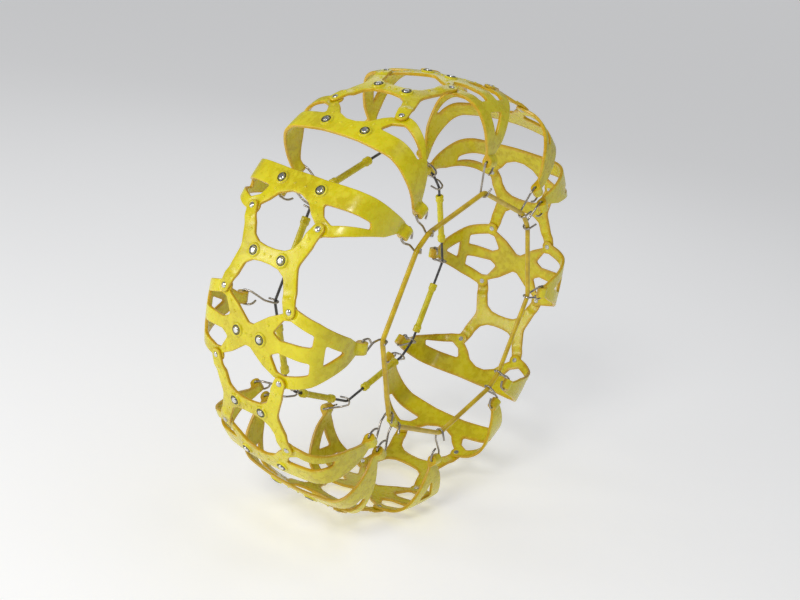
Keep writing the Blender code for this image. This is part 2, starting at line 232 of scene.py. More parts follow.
def ramp(tree, value, low, high, out_low=0.0, out_high=1.0):
    """The value between low and high, stretched smoothly to run between two other values."""
    inputs = {"Value": value, "From Min": low, "From Max": high, "To Min": out_low, "To Max": out_high}
    return add(tree, "MapRange", inputs, interpolation_type="SMOOTHSTEP").outputs["Result"]


def mixed(tree, share, first, second):
    """A colour between two, by a share that varies over the surface."""
    made = add(tree, "Mix", {"Factor": share}, data_type="RGBA")
    for socket, colour in ((made.inputs[6], first), (made.inputs[7], second)):
        if isinstance(colour, bpy.types.NodeSocket):
            tree.links.new(colour, socket)
        else:
            socket.default_value = (*colour, 1.0)
    return made.outputs[2]


def bump(tree, shader, height, distance, strength=1.0):
    made = add(tree, "Bump", {"Height": height, "Distance": distance, "Strength": strength})
    tree.links.new(made.outputs["Normal"], shader.inputs["Normal"])


def tpu_material():
    """Glossy yellow TPU: cloudy, with amber painted on its edges for the light that comes through them, and
    faint flow marks.
    """
    made, tree, shader = new_material("tpu_yellow", (0.78, 0.68, 0.01), 0.3, 0.0)
    place = own_coordinates(tree)
    cloud = ramp(tree, noise(tree, place, 14.0, 3.0), 0.36, 0.66)
    mottle = ramp(tree, noise(tree, place, 95.0, 4.0, 0.6), 0.42, 0.62)
    specks = ramp(tree, noise(tree, place, 420.0, 2.0, 0.7), 0.60, 0.72)
    colour = mixed(tree, cloud, (0.74, 0.64, 0.002), (0.58, 0.47, 0.002))
    pale = add(tree, "Math", {0: mottle, 1: 0.55}, operation="MULTIPLY").outputs[0]
    colour = mixed(tree, pale, colour, (0.80, 0.72, 0.018))
    dusty = add(tree, "Math", {0: specks, 1: 0.25}, operation="MULTIPLY").outputs[0]
    colour = mixed(tree, dusty, colour, (0.50, 0.42, 0.05))
    # painted light: the amber on side walls and rounded edges (the rim attribute) stands for light coming
    # through the TPU
    rim = add(tree, "Attribute", {}, attribute_name="rim").outputs["Fac"]
    painted_through_light = add(tree, "Math", {0: rim, 1: 0.62}, operation="MULTIPLY").outputs[0]
    colour = mixed(tree, painted_through_light, colour, (0.60, 0.28, 0.002))
    tree.links.new(colour, shader.inputs["Base Color"])
    tree.links.new(ramp(tree, mottle, 0.0, 1.0, 0.26, 0.42), shader.inputs["Roughness"])
    shader.inputs["Subsurface Weight"].default_value = 0.18
    shader.inputs["Subsurface Radius"].default_value = (1.0, 0.55, 0.08)
    shader.inputs["Subsurface Scale"].default_value = 0.004
    shader.inputs["Specular IOR Level"].default_value = 0.38
    shader.inputs["Coat Weight"].default_value = 0.4
    shader.inputs["Coat Roughness"].default_value = 0.24
    skin = noise(tree, place, 260.0, 3.0, 0.55)
    flow = noise(tree, place, 38.0, 2.0)
    height = add(tree, "Math", {0: flow, 1: 2.2, 2: skin}, operation="MULTIPLY_ADD").outputs[0]
    bump(tree, shader, height, 0.00022)
    return made


def steel_material(name, colour, low, high):
    """Plated steel with faint drawing marks and a finish that clouds over in places."""
    made, tree, shader = new_material(name, colour, low, 1.0)
    place = own_coordinates(tree)
    cloud = ramp(tree, noise(tree, place, 130.0, 3.0), 0.35, 0.68)
    tree.links.new(ramp(tree, cloud, 0.0, 1.0, low, high), shader.inputs["Roughness"])
    dulled = tuple(0.72 * part for part in colour)
    tree.links.new(mixed(tree, cloud, colour, dulled), shader.inputs["Base Color"])
    bump(tree, shader, noise(tree, place, 900.0, 2.0), 0.00005)
    return made


def cord_material():
    """Elastic cord in a yellow rubber skin, with fine extrusion lines and a soft sheen."""
    made, tree, shader = new_material("cord_rubber", (0.66, 0.47, 0.004), 0.34, 0.0)
    place = own_coordinates(tree)
    tone = ramp(tree, noise(tree, place, 60.0, 3.0), 0.35, 0.65)
    tree.links.new(mixed(tree, tone, (0.70, 0.50, 0.004), (0.54, 0.36, 0.005)), shader.inputs["Base Color"])
    tree.links.new(ramp(tree, tone, 0.0, 1.0, 0.28, 0.40), shader.inputs["Roughness"])
    shader.inputs["Coat Weight"].default_value = 0.3
    shader.inputs["Coat Roughness"].default_value = 0.2
    shader.inputs["Subsurface Weight"].default_value = 0.1
    shader.inputs["Subsurface Scale"].default_value = 0.002
    bump(tree, shader, noise(tree, place, 700.0, 2.0), 0.00008)
    return made


def cable_material():
    """Steel cable in a dark coating, with the lay of its strands showing through."""
    made, tree, shader = new_material("coated_cable", (0.05, 0.05, 0.055), 0.4, 0.0)
    place = own_coordinates(tree)
    worn = ramp(tree, noise(tree, place, 180.0, 3.0), 0.45, 0.7)
    colour = mixed(tree, worn, (0.045, 0.045, 0.05), (0.12, 0.12, 0.125))
    tree.links.new(colour, shader.inputs["Base Color"])
    tree.links.new(ramp(tree, worn, 0.0, 1.0, 0.32, 0.55), shader.inputs["Roughness"])
    bump(tree, shader, noise(tree, place, 800.0, 2.0), 0.0001)
    return made


# ---------------------------------------------------------------- the tyre's shape

def cross_section(across):
    """Half width, radius and slope of the panels' outer face, across from the centre line."""
    half_width, radius, slope, left = 0.0, TREAD_RADIUS, 0.0, abs(across)
    for length, bend in PROFILE_ARCS:
        step = min(left, length)
        turned = slope + step / bend
        half_width += bend * (math.sin(turned) - math.sin(slope))
        radius += bend * (math.cos(turned) - math.cos(slope))
        slope = turned
        left -= step
    return half_width, radius, slope


def wrap(along, across, height):
    """A flat point, at a height over the outer face, as a place on a section whose middle is at -X."""
    half_width, radius, slope = cross_section(across)
    angle = along / TREAD_RADIUS
    side = math.copysign(1.0, across)
    r = radius + height * math.cos(slope)
    y = side * (half_width + height * math.sin(slope))
    return Vector((-r * math.cos(angle), y, r * math.sin(angle))) * MM


def turn(degrees):
    """The rotation that carries a section from -X to its place round the wheel."""
    return Matrix.Rotation(math.radians(degrees), 4, "Y")


def standing_frame(along, across, height):
    """The frame of a small part standing on the outer face, with Z away from the tyre."""
    slope = cross_section(across)[2]
    angle = along / TREAD_RADIUS
    side = math.copysign(1.0, across)
    outward = Vector((-math.cos(angle), 0.0, math.sin(angle)))
    away = outward * math.cos(slope) + Vector((0.0, side * math.sin(slope), 0.0))
    tangent = Vector((math.sin(angle), 0.0, math.cos(angle)))
    columns = Matrix((tangent, away.cross(tangent), away)).transposed()
    return Matrix.Translation(wrap(along, across, height)) @ columns.to_4x4()


def tip_frame(along, side):
    """The frame of a tip's bore: X along it, Y away from the tyre's side, Z out from the wheel's axis."""
    angle = along / TREAD_RADIUS
    tangent = Vector((math.sin(angle), 0.0, math.cos(angle))) * side
    outward = Vector((-math.cos(angle), 0.0, math.sin(angle)))
    away = Vector((0.0, side, 0.0))
    columns = Matrix((tangent, away, outward)).transposed()
    return Matrix.Translation(wrap(along, side * TIP_ACROSS, TIP_HEIGHT)) @ columns.to_4x4()


def hook_frame(along, side):
    """A hook's frame: its tip's, with an inner hook leaning in towards the bead."""
    lean = INNER_LEAN if side > 0 else 0.0
    return tip_frame(along, side) @ Matrix.Rotation(math.radians(-lean), 4, "X")


def tip_alongs():
    return (-END_ROW - END_TIP_ALONG, 0.0, END_ROW + END_TIP_ALONG)


# ---------------------------------------------------------------- flat outlines

def arc(centre, radius, start, end, steps):
    """Points on a circle from one bearing to another, in degrees."""
    bearings = [math.radians(start + (end - start) * i / steps) for i in range(steps + 1)]
    return [(centre[0] + radius * math.cos(b), centre[1] + radius * math.sin(b), 0.0) for b in bearings]


def curved(before, here, after, reach, steps):
    """Points of the smooth bend that rounds a corner, in the plane or in space."""
    start = here + (before - here).normalized() * reach
    end = here + (after - here).normalized() * reach
    return [start.lerp(here, t).lerp(here.lerp(end, t), t) for t in [k / steps for k in range(steps + 1)]]


def smooth_outline(corners):
    """Closed outline through (along, across, fillet) corners, rounded and evenly divided."""
    points = []
    for i, (x, y, fillet) in enumerate(corners):
        here = Vector((x, y))
        before = Vector(corners[i - 1][:2])
        after = Vector(corners[(i + 1) % len(corners)][:2])
        if not fillet:
            points.append(here)
            continue
        half = (before - here).angle(after - here) / 2
        reach = min(fillet / math.tan(half), (before - here).length * 0.45, (after - here).length * 0.45)
        points += curved(before, here, after, reach, max(2, min(8, math.ceil(reach / 1.2))))
    divided = []
    for a, b in zip(points, points[1:] + points[:1]):
        if (b - a).length < OUTLINE_STEP * 0.2:
            continue
        count = max(1, round((b - a).length / OUTLINE_STEP))
        divided += [a.lerp(b, k / count) for k in range(count)]
    return divided


def mirrored_across(corners):
    """The corners of one side followed by their mirror images on the other side of the centre line."""
    return corners + [(x, -y, fillet) for x, y, fillet in reversed(corners)]


def mirrored_along(corners):
    return corners + [(-x, y, fillet) for x, y, fillet in reversed(corners)]


def end_panel_outlines():
    """End panel: a band across the tread, a boss towards the link panel and a tab down each sidewall."""
    rivet = (OUTER_RIVET_ALONG - END_ROW, RIVET_ACROSS)
    tip = END_TIP_ALONG
    half = [(-12.5, 8.0, 10), (-20.0, 25.0, 8), (-32.0, 35.0, 8)]
    half += arc(rivet, BOSS_RADIUS, -60, -230, 14)
    half += [(-49.0, 76.0, 12), (-37.0, 101.0, 20), (-12.0, 144.0, 20)]
    half += [(tip - STRAP_END_HALF, 168.0, 6), (tip - BARREL_HALF, 173.5, 3)]
    half += [(tip - BARREL_HALF, BARREL_END_ACROSS, 1.5), (tip + BARREL_HALF, BARREL_END_ACROSS, 1.5)]
    half += [(tip + BARREL_HALF, 173.5, 3), (tip + STRAP_END_HALF, 168.0, 6)]
    half += [(29.0, 138.0, 25), (20.0, 84.0, 25), (16.0, 30.0, 20)]
    window = [(-14.0, 45.0, 4), (-8.5, 113.0, 3), (-16.0, 118.0, 3), (-36.0, 68.0, 6), (-29.0, 53.0, 6)]
    other_window = [(x, -y, fillet) for x, y, fillet in window]
    return mirrored_across(half), [window, other_window], [rivet]


def centre_panel_outlines():
    """Centre panel: a hub, four arms to the bosses, and a triangular tab down each sidewall."""
    rivet = (INNER_RIVET_ALONG, RIVET_ACROSS)
    quarter = [(15.5, 4.0, 5), (33.0, 27.0, 12), (41.0, 42.0, 8)]
    quarter += arc(rivet, BOSS_RADIUS, -115, 55, 14)
    quarter += [(50.5, 76.0, 10), (45.0, 98.0, 20), (24.0, 152.0, 20)]
    quarter += [(STRAP_END_HALF, 169.0, 5), (BARREL_HALF, 173.5, 3), (BARREL_HALF, BARREL_END_ACROSS, 1.5)]
    side_window = [(8.5, 49.0, 4), (15.0, 37.0, 4), (35.0, 49.0, 5), (37.0, 60.0, 5), (27.5, 94.0, 4)]
    side_window += [(11.0, 94.0, 4)]
    tip_window = [(15.5, 112.0, 3), (0.0, 146.0, 4), (-15.5, 112.0, 3)]
    windows = [tip_window, [(x, -y, fillet) for x, y, fillet in tip_window]]
    for sx in (1, -1):
        windows += [[(sx * x, sy * y, fillet) for x, y, fillet in side_window] for sy in (1, -1)]
    return mirrored_across(mirrored_along(quarter)), windows, [rivet, (-rivet[0], rivet[1])]


def link_arm(rivet, root):
    """One arm of a link panel: both its edges and its round end, from the edge nearer the centre line."""
    reach = Vector(root) - Vector(rivet)
    reach.normalize()
    inward = Vector((reach.y, -reach.x)) if reach.x < 0 else Vector((-reach.y, reach.x))
    if inward.y > 0:
        inward.negate()
    near = [Vector(rivet) + reach * d + inward * ARM_HALF_WIDTH for d in (25.0, 14.0)]
    far = [Vector(rivet) + reach * d - inward * ARM_HALF_WIDTH for d in (14.0, 25.0)]
    start = math.degrees(math.atan2(inward.y, inward.x))
    sweep = 180.0 if reach.x < 0 else -180.0
    end = arc(rivet, ARM_END_RADIUS, start, start + sweep, 14)
    return [(p.x, p.y, 8.0) for p in near] + end + [(p.x, p.y, 8.0) for p in far]


def link_panel_outlines():
    """Link panel: a waist across the tread's middle and four arms that lap onto the neighbours' bosses."""
    outer = (OUTER_RIVET_ALONG - LINK_ROW, RIVET_ACROSS)
    inner = (INNER_RIVET_ALONG - LINK_ROW, RIVET_ACROSS)
    half = [(11.0, 8.0, 10), (13.0, 22.0, 8), (20.0, 33.0, 8)]
    half += link_arm(outer, (24.0, 46.0))
    half += [(0.0, 48.0, 20)]
    half += list(reversed(link_arm(inner, (-26.0, 46.0))))
    half += [(-19.0, 33.0, 8), (-12.0, 22.0, 8), (-10.0, 8.0, 10)]
    return mirrored_across(half), [], [outer, inner]


# ---------------------------------------------------------------- panel surfaces

def eased(value, low, high):
    """0 below low, 1 above high and a smooth rise between."""
    share = min(1.0, max(0.0, (value - low) / (high - low)))
    return share * share * (3.0 - 2.0 * share)


def larger(a, b, blend):
    """The larger of two heights, blended where they meet."""
    return (a + b + math.hypot(a - b, blend)) / 2


class Panel:
    """One kind of panel: its outlines, its row and the heights of its two faces."""

    def __init__(self, kind, row, outlines, laps_over, tip_along, pips):
        corners, window_corners, rivets = outlines
        self.kind = kind
        self.row = row
        self.outline = smooth_outline(corners)
        self.windows = [smooth_outline(w) for w in window_corners]
        self.rivets = [Vector((x, side * y)) for x, y in rivets for side in (1, -1)]
        self.studs = [Vector((0.0, side * STUD_ACROSS[kind])) for side in (1, -1)]
        self.pips = [Vector(p) for p in pips]
        self.laps_over = laps_over
        self.tip_along = tip_along

    def barrel(self, across):
        """How far the barrel's round stands from its bore, and 0 outside it."""
        off = abs(abs(across) - TIP_ACROSS)
        return math.sqrt(max(0.0, BARREL_RADIUS ** 2 - off ** 2))

    def outer(self, point):
        """Height of the outer face."""
        near = min((point - rivet).length for rivet in self.rivets)
        if self.laps_over:
            height = ARM_LIFT * (1 - eased(near, 15.5, 26.0)) - 0.45 * (1 - eased(near, 4.2, 5.4))
        else:
            height = LAP_TOP * (1 - eased(near, BOSS_RADIUS + 0.2, 13.0))
        near = min((point - stud).length for stud in self.studs)
        height += STUD_BOSS_HEIGHT * (1 - eased(near, STUD_BOSS_TOP, STUD_BOSS_FOOT))
        near = min((point - pip).length for pip in self.pips)
        height += PIP_HEIGHT * math.sqrt(max(0.0, 1 - (near / PIP_RADIUS) ** 2))
        if self.tip_along is not None and abs(point.y) > 150.0:
            rise = TIP_HEIGHT + self.barrel(point.y)
            if abs(point.y) < TIP_ACROSS - BARREL_RADIUS:
                rise = TIP_HEIGHT - 2.0 * (TIP_ACROSS - BARREL_RADIUS - abs(point.y))
            height = larger(height, rise, 1.6)
        return height

    def inner(self, point):
        """Height of the face against the tyre."""
        if self.laps_over:
            near = min((point - rivet).length for rivet in self.rivets)
            low = LAP_TOP + LAP_GAP
            return low + (-THICKNESS - low) * eased(near, 15.5, 26.0)
        if self.tip_along is not None and abs(point.y) > TIP_ACROSS:
            return TIP_HEIGHT - self.barrel(point.y)
        proud = BARREL_RADIUS - TIP_HEIGHT - THICKNESS
        return -THICKNESS - proud * eased(abs(point.y), 168.0, 176.0) * (self.tip_along is not None)

    def fine_points(self):
        """Points for the small shapes of the outer face, as rings, and for the barrels."""
        points = []
        for rivet in self.rivets:
            radii = (4.1, 4.8, 5.6) if self.laps_over else (10.2, 11.6, 13.0)
            points += [rivet] + [rivet + ring_point(radius, k, 18) for radius in radii for k in range(18)]
        for stud in self.studs:
            radii = (7.0, 8.5, 8.95, 9.35, 9.75, 10.2)
            points += [stud + ring_point(radius, k, 26) for radius in radii for k in range(26)]
        for pip in self.pips:
            radii = (0.75, 1.35, 1.75, 2.1)
            points += [pip] + [pip + ring_point(radius, k, 10) for radius in radii for k in range(10)]
        if self.tip_along is not None:
            rows = [166.0 + 1.35 * k for k in range(16)]
            middle = self.tip_along
            columns = (-7.5, -2.5, 2.5, 7.5)
            points += [Vector((middle + x, side * y)) for y in rows for x in columns for side in (1, -1)]
        return points

    def grid_points(self, step):
        """Points for the tyre's curve, closer together over the shoulder."""
        rows = [0.0]
        while rows[-1] < BARREL_END_ACROSS:
            tight = 74.0 < rows[-1] < 110.0
            rows.append(rows[-1] + step * (0.7 if tight else 1.0))
        columns = range(-int(72 / step), int(72 / step) + 1)
        shifts = [step * 0.25 * (1 if i % 2 else -1) for i in range(len(rows))]
        points = [Vector((c * step + shift, y)) for y, shift in zip(rows, shifts) for c in columns]
        return points + [Vector((p.x, -p.y)) for p in points if p.y > 0]


def ring_point(radius, k, count):
    turned = 2 * math.pi * k / count
    return Vector((radius * math.cos(turned), radius * math.sin(turned)))


def inside(point, outline):
    """Whether a point is inside a closed outline, by counting the edges to its right."""
    crossings = 0
    for a, b in zip(outline, outline[1:] + outline[:1]):
        if (a.y > point.y) != (b.y > point.y):
            crossings += point.x < a.x + (point.y - a.y) * (b.x - a.x) / (b.y - a.y)
    return crossings % 2 == 1


def moved_in(loop, distance, is_window):
    """The loop moved into the material by a distance."""
    area = sum(a.x * b.y - b.x * a.y for a, b in zip(loop, loop[1:] + loop[:1]))
    sign = (1.0 if area > 0 else -1.0) * (-1.0 if is_window else 1.0)
    moved = []
    for i, here in enumerate(loop):
        before = (here - loop[i - 1]).normalized()
        after = (loop[(i + 1) % len(loop)] - here).normalized()
        across = Vector((-(before.y + after.y), before.x + after.x)) / 2
        moved.append(here + across * (sign * distance / max(across.length_squared, 0.6)))
    return moved


def sheet_of(panel, loops, extra):
    """The flat points and faces of one side of a panel, between its loops."""
    points, edges = [], []
    for loop in loops:
        first = len(points)
        points += loop
        edges += [(first + i, first + (i + 1) % len(loop)) for i in range(len(loop))]
    tree = KDTree(len(points) + len(extra))
    for i, point in enumerate(points):
        tree.insert((point.x, point.y, 0.0), i)
    tree.balance()
    kept = []
    taken = KDTree(len(extra))
    for point, room in extra:
        if tree.find((point.x, point.y, 0.0))[2] < room[0] or not inside(point, loops[0]):
            continue
        if any(inside(point, window) for window in loops[1:]):
            continue
        kept.append((point, room[1]))
    chosen = []
    for i, (point, _) in enumerate(kept):
        taken.insert((point.x, point.y, 0.0), i)
    taken.balance()
    dropped = set()
    for i, (point, room) in enumerate(kept):
        near = taken.find_range((point.x, point.y, 0.0), room) if room else []
        if any(j < i and j not in dropped for _, j, _ in near):
            dropped.add(i)
            continue
        chosen.append(point)
    flat, _, faces, *_ = delaunay_2d_cdt(points + chosen, edges, [], 1, 1e-6)
    middles = [sum((flat[i] for i in face), Vector((0.0, 0.0))) / len(face) for face in faces]
    faces = [f for f, middle in zip(faces, middles) if not any(inside(middle, w) for w in loops[1:])]
    if len(flat) != len(points) + len(chosen):
        raise ValueError(f"{panel.kind}: the outline crosses itself")
    return flat, faces, len(points)


def panel_mesh(panel):
    """A closed mesh of a panel wrapped on the tyre, with rounded edges and its small moulded shapes."""
    bm = bmesh.new()
    # rim: each vertex's share of the amber painted on the edges for light coming through them
    rim = bm.verts.layers.float.new("rim")

    def vertex(point, height, amount=0.0):
        made = bm.verts.new(wrap(panel.row + point.x, point.y, height))
        made[rim] = amount
        return made

    loops = [panel.outline] + panel.windows
    bends = [math.radians(b) for b in (0, 30, 60, 90)]
    turns = [(math.cos(b), math.sin(b)) for b in bends]
    outer_rings = [(EDGE_ROUND * (1 - c), EDGE_ROUND * (1 - s), c) for c, s in turns]
    inner_rings = [(INNER_ROUND, 0.0), (INNER_ROUND * 0.3, INNER_ROUND * 0.3), (0.0, INNER_ROUND)]
    chains = []
    for number, loop in enumerate(loops):
        rings = []
        for inset, drop in inner_rings:
            ring = moved_in(loop, inset, number > 0)
            rings.append([vertex(p, panel.inner(p) + drop, 1.0) for p in ring])
        for inset, drop, amount in outer_rings:
            ring = moved_in(loop, inset, number > 0)
            rings.append([vertex(p, panel.outer(p) - drop, amount) for p in ring])
        for lower, upper in zip(rings, rings[1:]):
            for i in range(len(loop)):
                j = (i + 1) % len(loop)
                bm.faces.new([lower[i], lower[j], upper[j], upper[i]])
        chains.append(rings)
    fine = [(p, (0.7, 0.0)) for p in panel.fine_points()]
    fine += [(p, (1.8, 2.0)) for p in panel.grid_points(GRID_STEP)]
    plain = [(p, (2.4, 3.0)) for p in panel.grid_points(GRID_STEP * 1.25)]
    faces_of_panel = ((EDGE_ROUND, -1, fine, panel.outer), (INNER_ROUND, 0, plain, panel.inner))
    for inset, which, extra, height in faces_of_panel:
        edge_loops = [moved_in(loop, inset, number > 0) for number, loop in enumerate(loops)]
        flat, faces, edge_count = sheet_of(panel, edge_loops, extra)
        ring_vertices = [v for rings in chains for v in rings[which]]
        vertices = ring_vertices + [vertex(p, height(p)) for p in flat[edge_count:]]
        for face in faces:
            bm.faces.new([vertices[i] for i in face])
    bmesh.ops.recalc_face_normals(bm, faces=bm.faces)
    mesh = bpy.data.meshes.new(panel.kind)
    bm.to_mesh(mesh)
    bm.free()
    return mesh


def turned_mesh(name, profile, sides, closed=False, axis="X"):
    """A turned shape from (distance along the axis, radius) points, capped where it meets the axis."""
    bm = bmesh.new()
    rings = []
    for x, radius in profile:
        if radius == 0.0:
            centre = (x, 0.0, 0.0) if axis == "X" else (0.0, 0.0, x)
            rings.append([bm.verts.new(Vector(centre) * MM)])
            continue
        turns = [2 * math.pi * k / sides for k in range(sides)]
        places = [(x, radius * math.cos(t), radius * math.sin(t)) for t in turns]
        if axis == "Z":
            places = [(b, c, a) for a, b, c in places]
        rings.append([bm.verts.new(Vector(p) * MM) for p in places])
    for ring, following in zip(rings, rings[1:] + (rings[:1] if closed else [])):
        for k in range(sides):
            a, b = ring[k % len(ring)], ring[(k + 1) % len(ring)]
            c, d = following[(k + 1) % len(following)], following[k % len(following)]
            corners = [a] + ([b] if b != a else []) + [c] + ([d] if d != c else [])
            bm.faces.new(corners)
    bmesh.ops.recalc_face_normals(bm, faces=bm.faces)
    mesh = bpy.data.meshes.new(name)
    bm.to_mesh(mesh)
    bm.free()
    return mesh


def shaded(mesh, angle):
    """Smooth shading, broken at edges sharper than the angle."""
    mesh.shade_smooth()
    mesh.set_sharp_from_angle(angle=math.radians(angle))
    return mesh


def with_bores(panel, mesh):
    """The panel's mesh with the hook's bore cut through both its barrels."""
    body = bpy.data.objects.new("body", mesh)
    bpy.context.scene.collection.objects.link(body)
    cutters = []
    for side in (1, -1):
        profile = [(-14.0, 0.0), (-14.0, BORE_RADIUS), (14.0, BORE_RADIUS), (14.0, 0.0)]
        cutter = bpy.data.objects.new("cutter", turned_mesh("cutter", profile, 28))
        bpy.context.scene.collection.objects.link(cutter)
        cutter.matrix_world = tip_frame(panel.row + panel.tip_along, side)
        cut = body.modifiers.new("bore", "BOOLEAN")
        cut.operation = "DIFFERENCE"
        cut.object = cutter
        cutters.append(cutter)
    bpy.context.view_layer.update()
    evaluated = body.evaluated_get(bpy.context.evaluated_depsgraph_get())
    bored = bpy.data.meshes.new_from_object(evaluated)
    for helper in [body] + cutters:
        bpy.data.objects.remove(helper)
    return bored


# ---------------------------------------------------------------- placing

def place(name, data, finishes, matrix, body, slot, nodes=()):
    """A named piece with its finishes, riding on a body and standing for CAD nodes."""
    piece = bpy.data.objects.new(name, data)
    bpy.context.scene.collection.objects.link(piece)
    piece.matrix_world = matrix
    if not data.materials:
        for finish in finishes:
            data.materials.append(finish)
    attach(piece, body)
    if nodes:
        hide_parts(*nodes)
    return piece


def make_panels(yellow):
    """Five panels for each section; the first of each pair is the second one mirrored along the tread."""
    four = [(x, y) for x in (1, -1) for y in (1, -1)]
    centre_pips = [(x * a, y * b) for x, y in four for a, b in ((22.0, 29.0), (33.0, 39.5))]
    link_places = ((37.0, 50.0), (23.5, 41.0), (-40.0, 50.0), (-26.0, 41.0))
    link_pips = [(a, y * b) for y in (1, -1) for a, b in link_places]
    end_pips = [(a, y * b) for y in (1, -1) for a, b in ((-16.0, 34.0), (-31.5, 45.0))]
    link_pips += [(0.0, 5.0), (0.0, -5.0)]
    centre_pips += [(0.0, 4.5), (0.0, -4.5)]
    end_pips += [(-2.0, 9.0), (-2.0, -9.0)]
    centre = Panel("centre_panel", 0.0, centre_panel_outlines(), False, 0.0, centre_pips)
    link = Panel("link_panel", LINK_ROW, link_panel_outlines(), True, None, link_pips)
    end = Panel("end_panel", END_ROW, end_panel_outlines(), False, END_TIP_ALONG, end_pips)
    shapes = {"centre_panel": with_bores(centre, panel_mesh(centre))}
    pairs = {"link_panel": panel_mesh(link), "end_panel": with_bores(end, panel_mesh(end))}
    for kind, mesh in pairs.items():
        shapes[kind + "_2"] = mesh
        mirrored = mesh.copy()
        mirrored.transform(Matrix.Scale(-1, 4, (0.0, 0.0, 1.0)))
        mirrored.flip_normals()
        shapes[kind + "_1"] = mirrored
    for mesh in shapes.values():
        shaded(mesh, 50)
    for section, angle in SECTION_ANGLES.items():
        for kind, mesh in shapes.items():
            name = f"{section}_{kind}"
            place(name + "_moulding", mesh, [yellow], turn(angle), ROOT, "tpu_yellow", [name])


def make_studs(bright, dark):
    """Two studs on each panel: a collar in its boss, painted dark for the shade it sits in, and a bright
    domed pin.
    """
    collar = [(-1.0, 6.6), (2.0, 6.6), (2.45, 6.3), (2.65, 5.9), (2.6, 5.3), (2.1, 4.9)]
    collar += [(1.3, 4.7), (1.3, 4.25)]
    pin = [(1.4, 4.15), (3.0, 4.05), (3.4, 3.7), (3.65, 2.9), (3.77, 1.5), (3.8, 0.0)]
    mesh = turned_mesh("stud", [(-1.0, 0.0)] + collar + pin, 40, axis="Z")
    mesh.materials.append(dark)
    mesh.materials.append(bright)
    # material 0 is the collar with its painted shade, material 1 the bright pin
    for face in mesh.polygons:
        middle = face.center
        face.material_index = int(math.hypot(middle.x, middle.y) < STUD_PIN_EDGE * MM and middle.z > 0.0)
    shaded(mesh, 50)
    rows = [("centre_panel", 0.0), ("link_panel_1", -LINK_ROW), ("link_panel_2", LINK_ROW)]
    rows += [("end_panel_1", -END_ROW), ("end_panel_2", END_ROW)]
    for section, angle in SECTION_ANGLES.items():
        for kind, row in rows:
            across = STUD_ACROSS[kind.rstrip("_12")]
            for number, side in enumerate((-1, 1), 1):
                matrix = turn(angle) @ standing_frame(row, side * across, 0.0)
                place(f"{section}_{kind}_stud_{number}", mesh, [], matrix, ROOT, "plated_steel")


def make_rivets(steel):
    """A rivet at each lap: a domed head outside, its shank, and a flat head inside."""
    outside = [(ARM_LIFT - 0.45, 3.8), (ARM_LIFT + 0.1, 3.8), (ARM_LIFT + 0.8, 3.2), (ARM_LIFT + 1.25, 2.0)]
    inside_head = [(-THICKNESS - 0.7, 0.0), (-THICKNESS - 0.7, 3.6), (-THICKNESS - 0.3, 4.0)]
    shank = [(-THICKNESS + 0.1, 4.0), (-THICKNESS + 0.1, 2.0), (ARM_LIFT - 0.5, 2.0)]
    profile = inside_head + shank + outside + [(ARM_LIFT + 1.42, 0.0)]
    mesh = shaded(turned_mesh("rivet", profile, 28, axis="Z"), 40)
    for section, angle in SECTION_ANGLES.items():
        number = 0
        for along in (-OUTER_RIVET_ALONG, -INNER_RIVET_ALONG, INNER_RIVET_ALONG, OUTER_RIVET_ALONG):
            for side in (-1, 1):
                number += 1
                matrix = turn(angle) @ standing_frame(along, side * RIVET_ACROSS, 0.0)
                place(f"{section}_rivet_{number}", mesh, [steel], matrix, ROOT, "plated_steel")


# ---------------------------------------------------------------- wires and cords

def wire_mesh(name, points, radius, resolution, closed=False):
    """A round wire through points, whose free ends are slightly rounded."""
    curve = bpy.data.curves.new(name, "CURVE")
    curve.dimensions = "3D"
    curve.bevel_depth = radius * MM
    curve.bevel_resolution = resolution
    curve.use_fill_caps = not closed
    if not closed:
        first, last = (points[0] - points[1]).normalized(), (points[-1] - points[-2]).normalized()
        points = [points[0] + first * 0.5, points[0] + first * 0.3] + points
        points += [points[-1] + last * 0.3, points[-1] + last * 0.5]
    spline = curve.splines.new("POLY")
    spline.points.add(len(points) - 1)
    for control, point in zip(spline.points, points):
        control.co = (*(point * MM), 1.0)
    if not closed:
        for i, share in ((0, 0.6), (1, 0.9), (-2, 0.9), (-1, 0.6)):
            spline.points[i].radius = share
    spline.use_cyclic_u = closed
    helper = bpy.data.objects.new(name, curve)
    bpy.context.scene.collection.objects.link(helper)
    evaluated = helper.evaluated_get(bpy.context.evaluated_depsgraph_get())
    mesh = bpy.data.meshes.new_from_object(evaluated)
    bpy.data.objects.remove(helper)
    return shaded(mesh, 45)


def bent(points, reach, steps):
    """An open path whose corners are rounded, each over at most a reach."""
    path = [points[0]]
    for before, here, after in zip(points, points[1:], points[2:]):
        room = min(reach, (before - here).length * 0.48, (after - here).length * 0.48)
        path += curved(before, here, after, room, steps)
    return path + [points[-1]]


def hook_path():
    """The hook's wire in the bore's frame: a short leg, the bore, a long leg and the bend at the cord."""
    path = [(-3.0, 0.0, -18.5), (-8.0, 0.0, -15.0), (-LEG_OFFSET, 0.0, -10.0), (-LEG_OFFSET, 0.0, 0.0)]
    path += [(LEG_OFFSET, 0.0, 0.0), (LEG_OFFSET - 1.0, -1.0, -11.0), (1.0, -HOOK_BEND + 0.6, -31.0)]
    hook = []
    for bearing in range(180, 346, 15):
        turned = math.radians(bearing)
        hook.append(Vector((0.0, HOOK_BEND * math.cos(turned), -HOOK_REACH + HOOK_BEND * math.sin(turned))))
    path = bent([Vector(p) for p in path] + [hook[0]], 3.2, 5)
    return path + hook[1:] + [Vector((0.0, HOOK_BEND + 4.0, -HOOK_REACH + 8.0))]


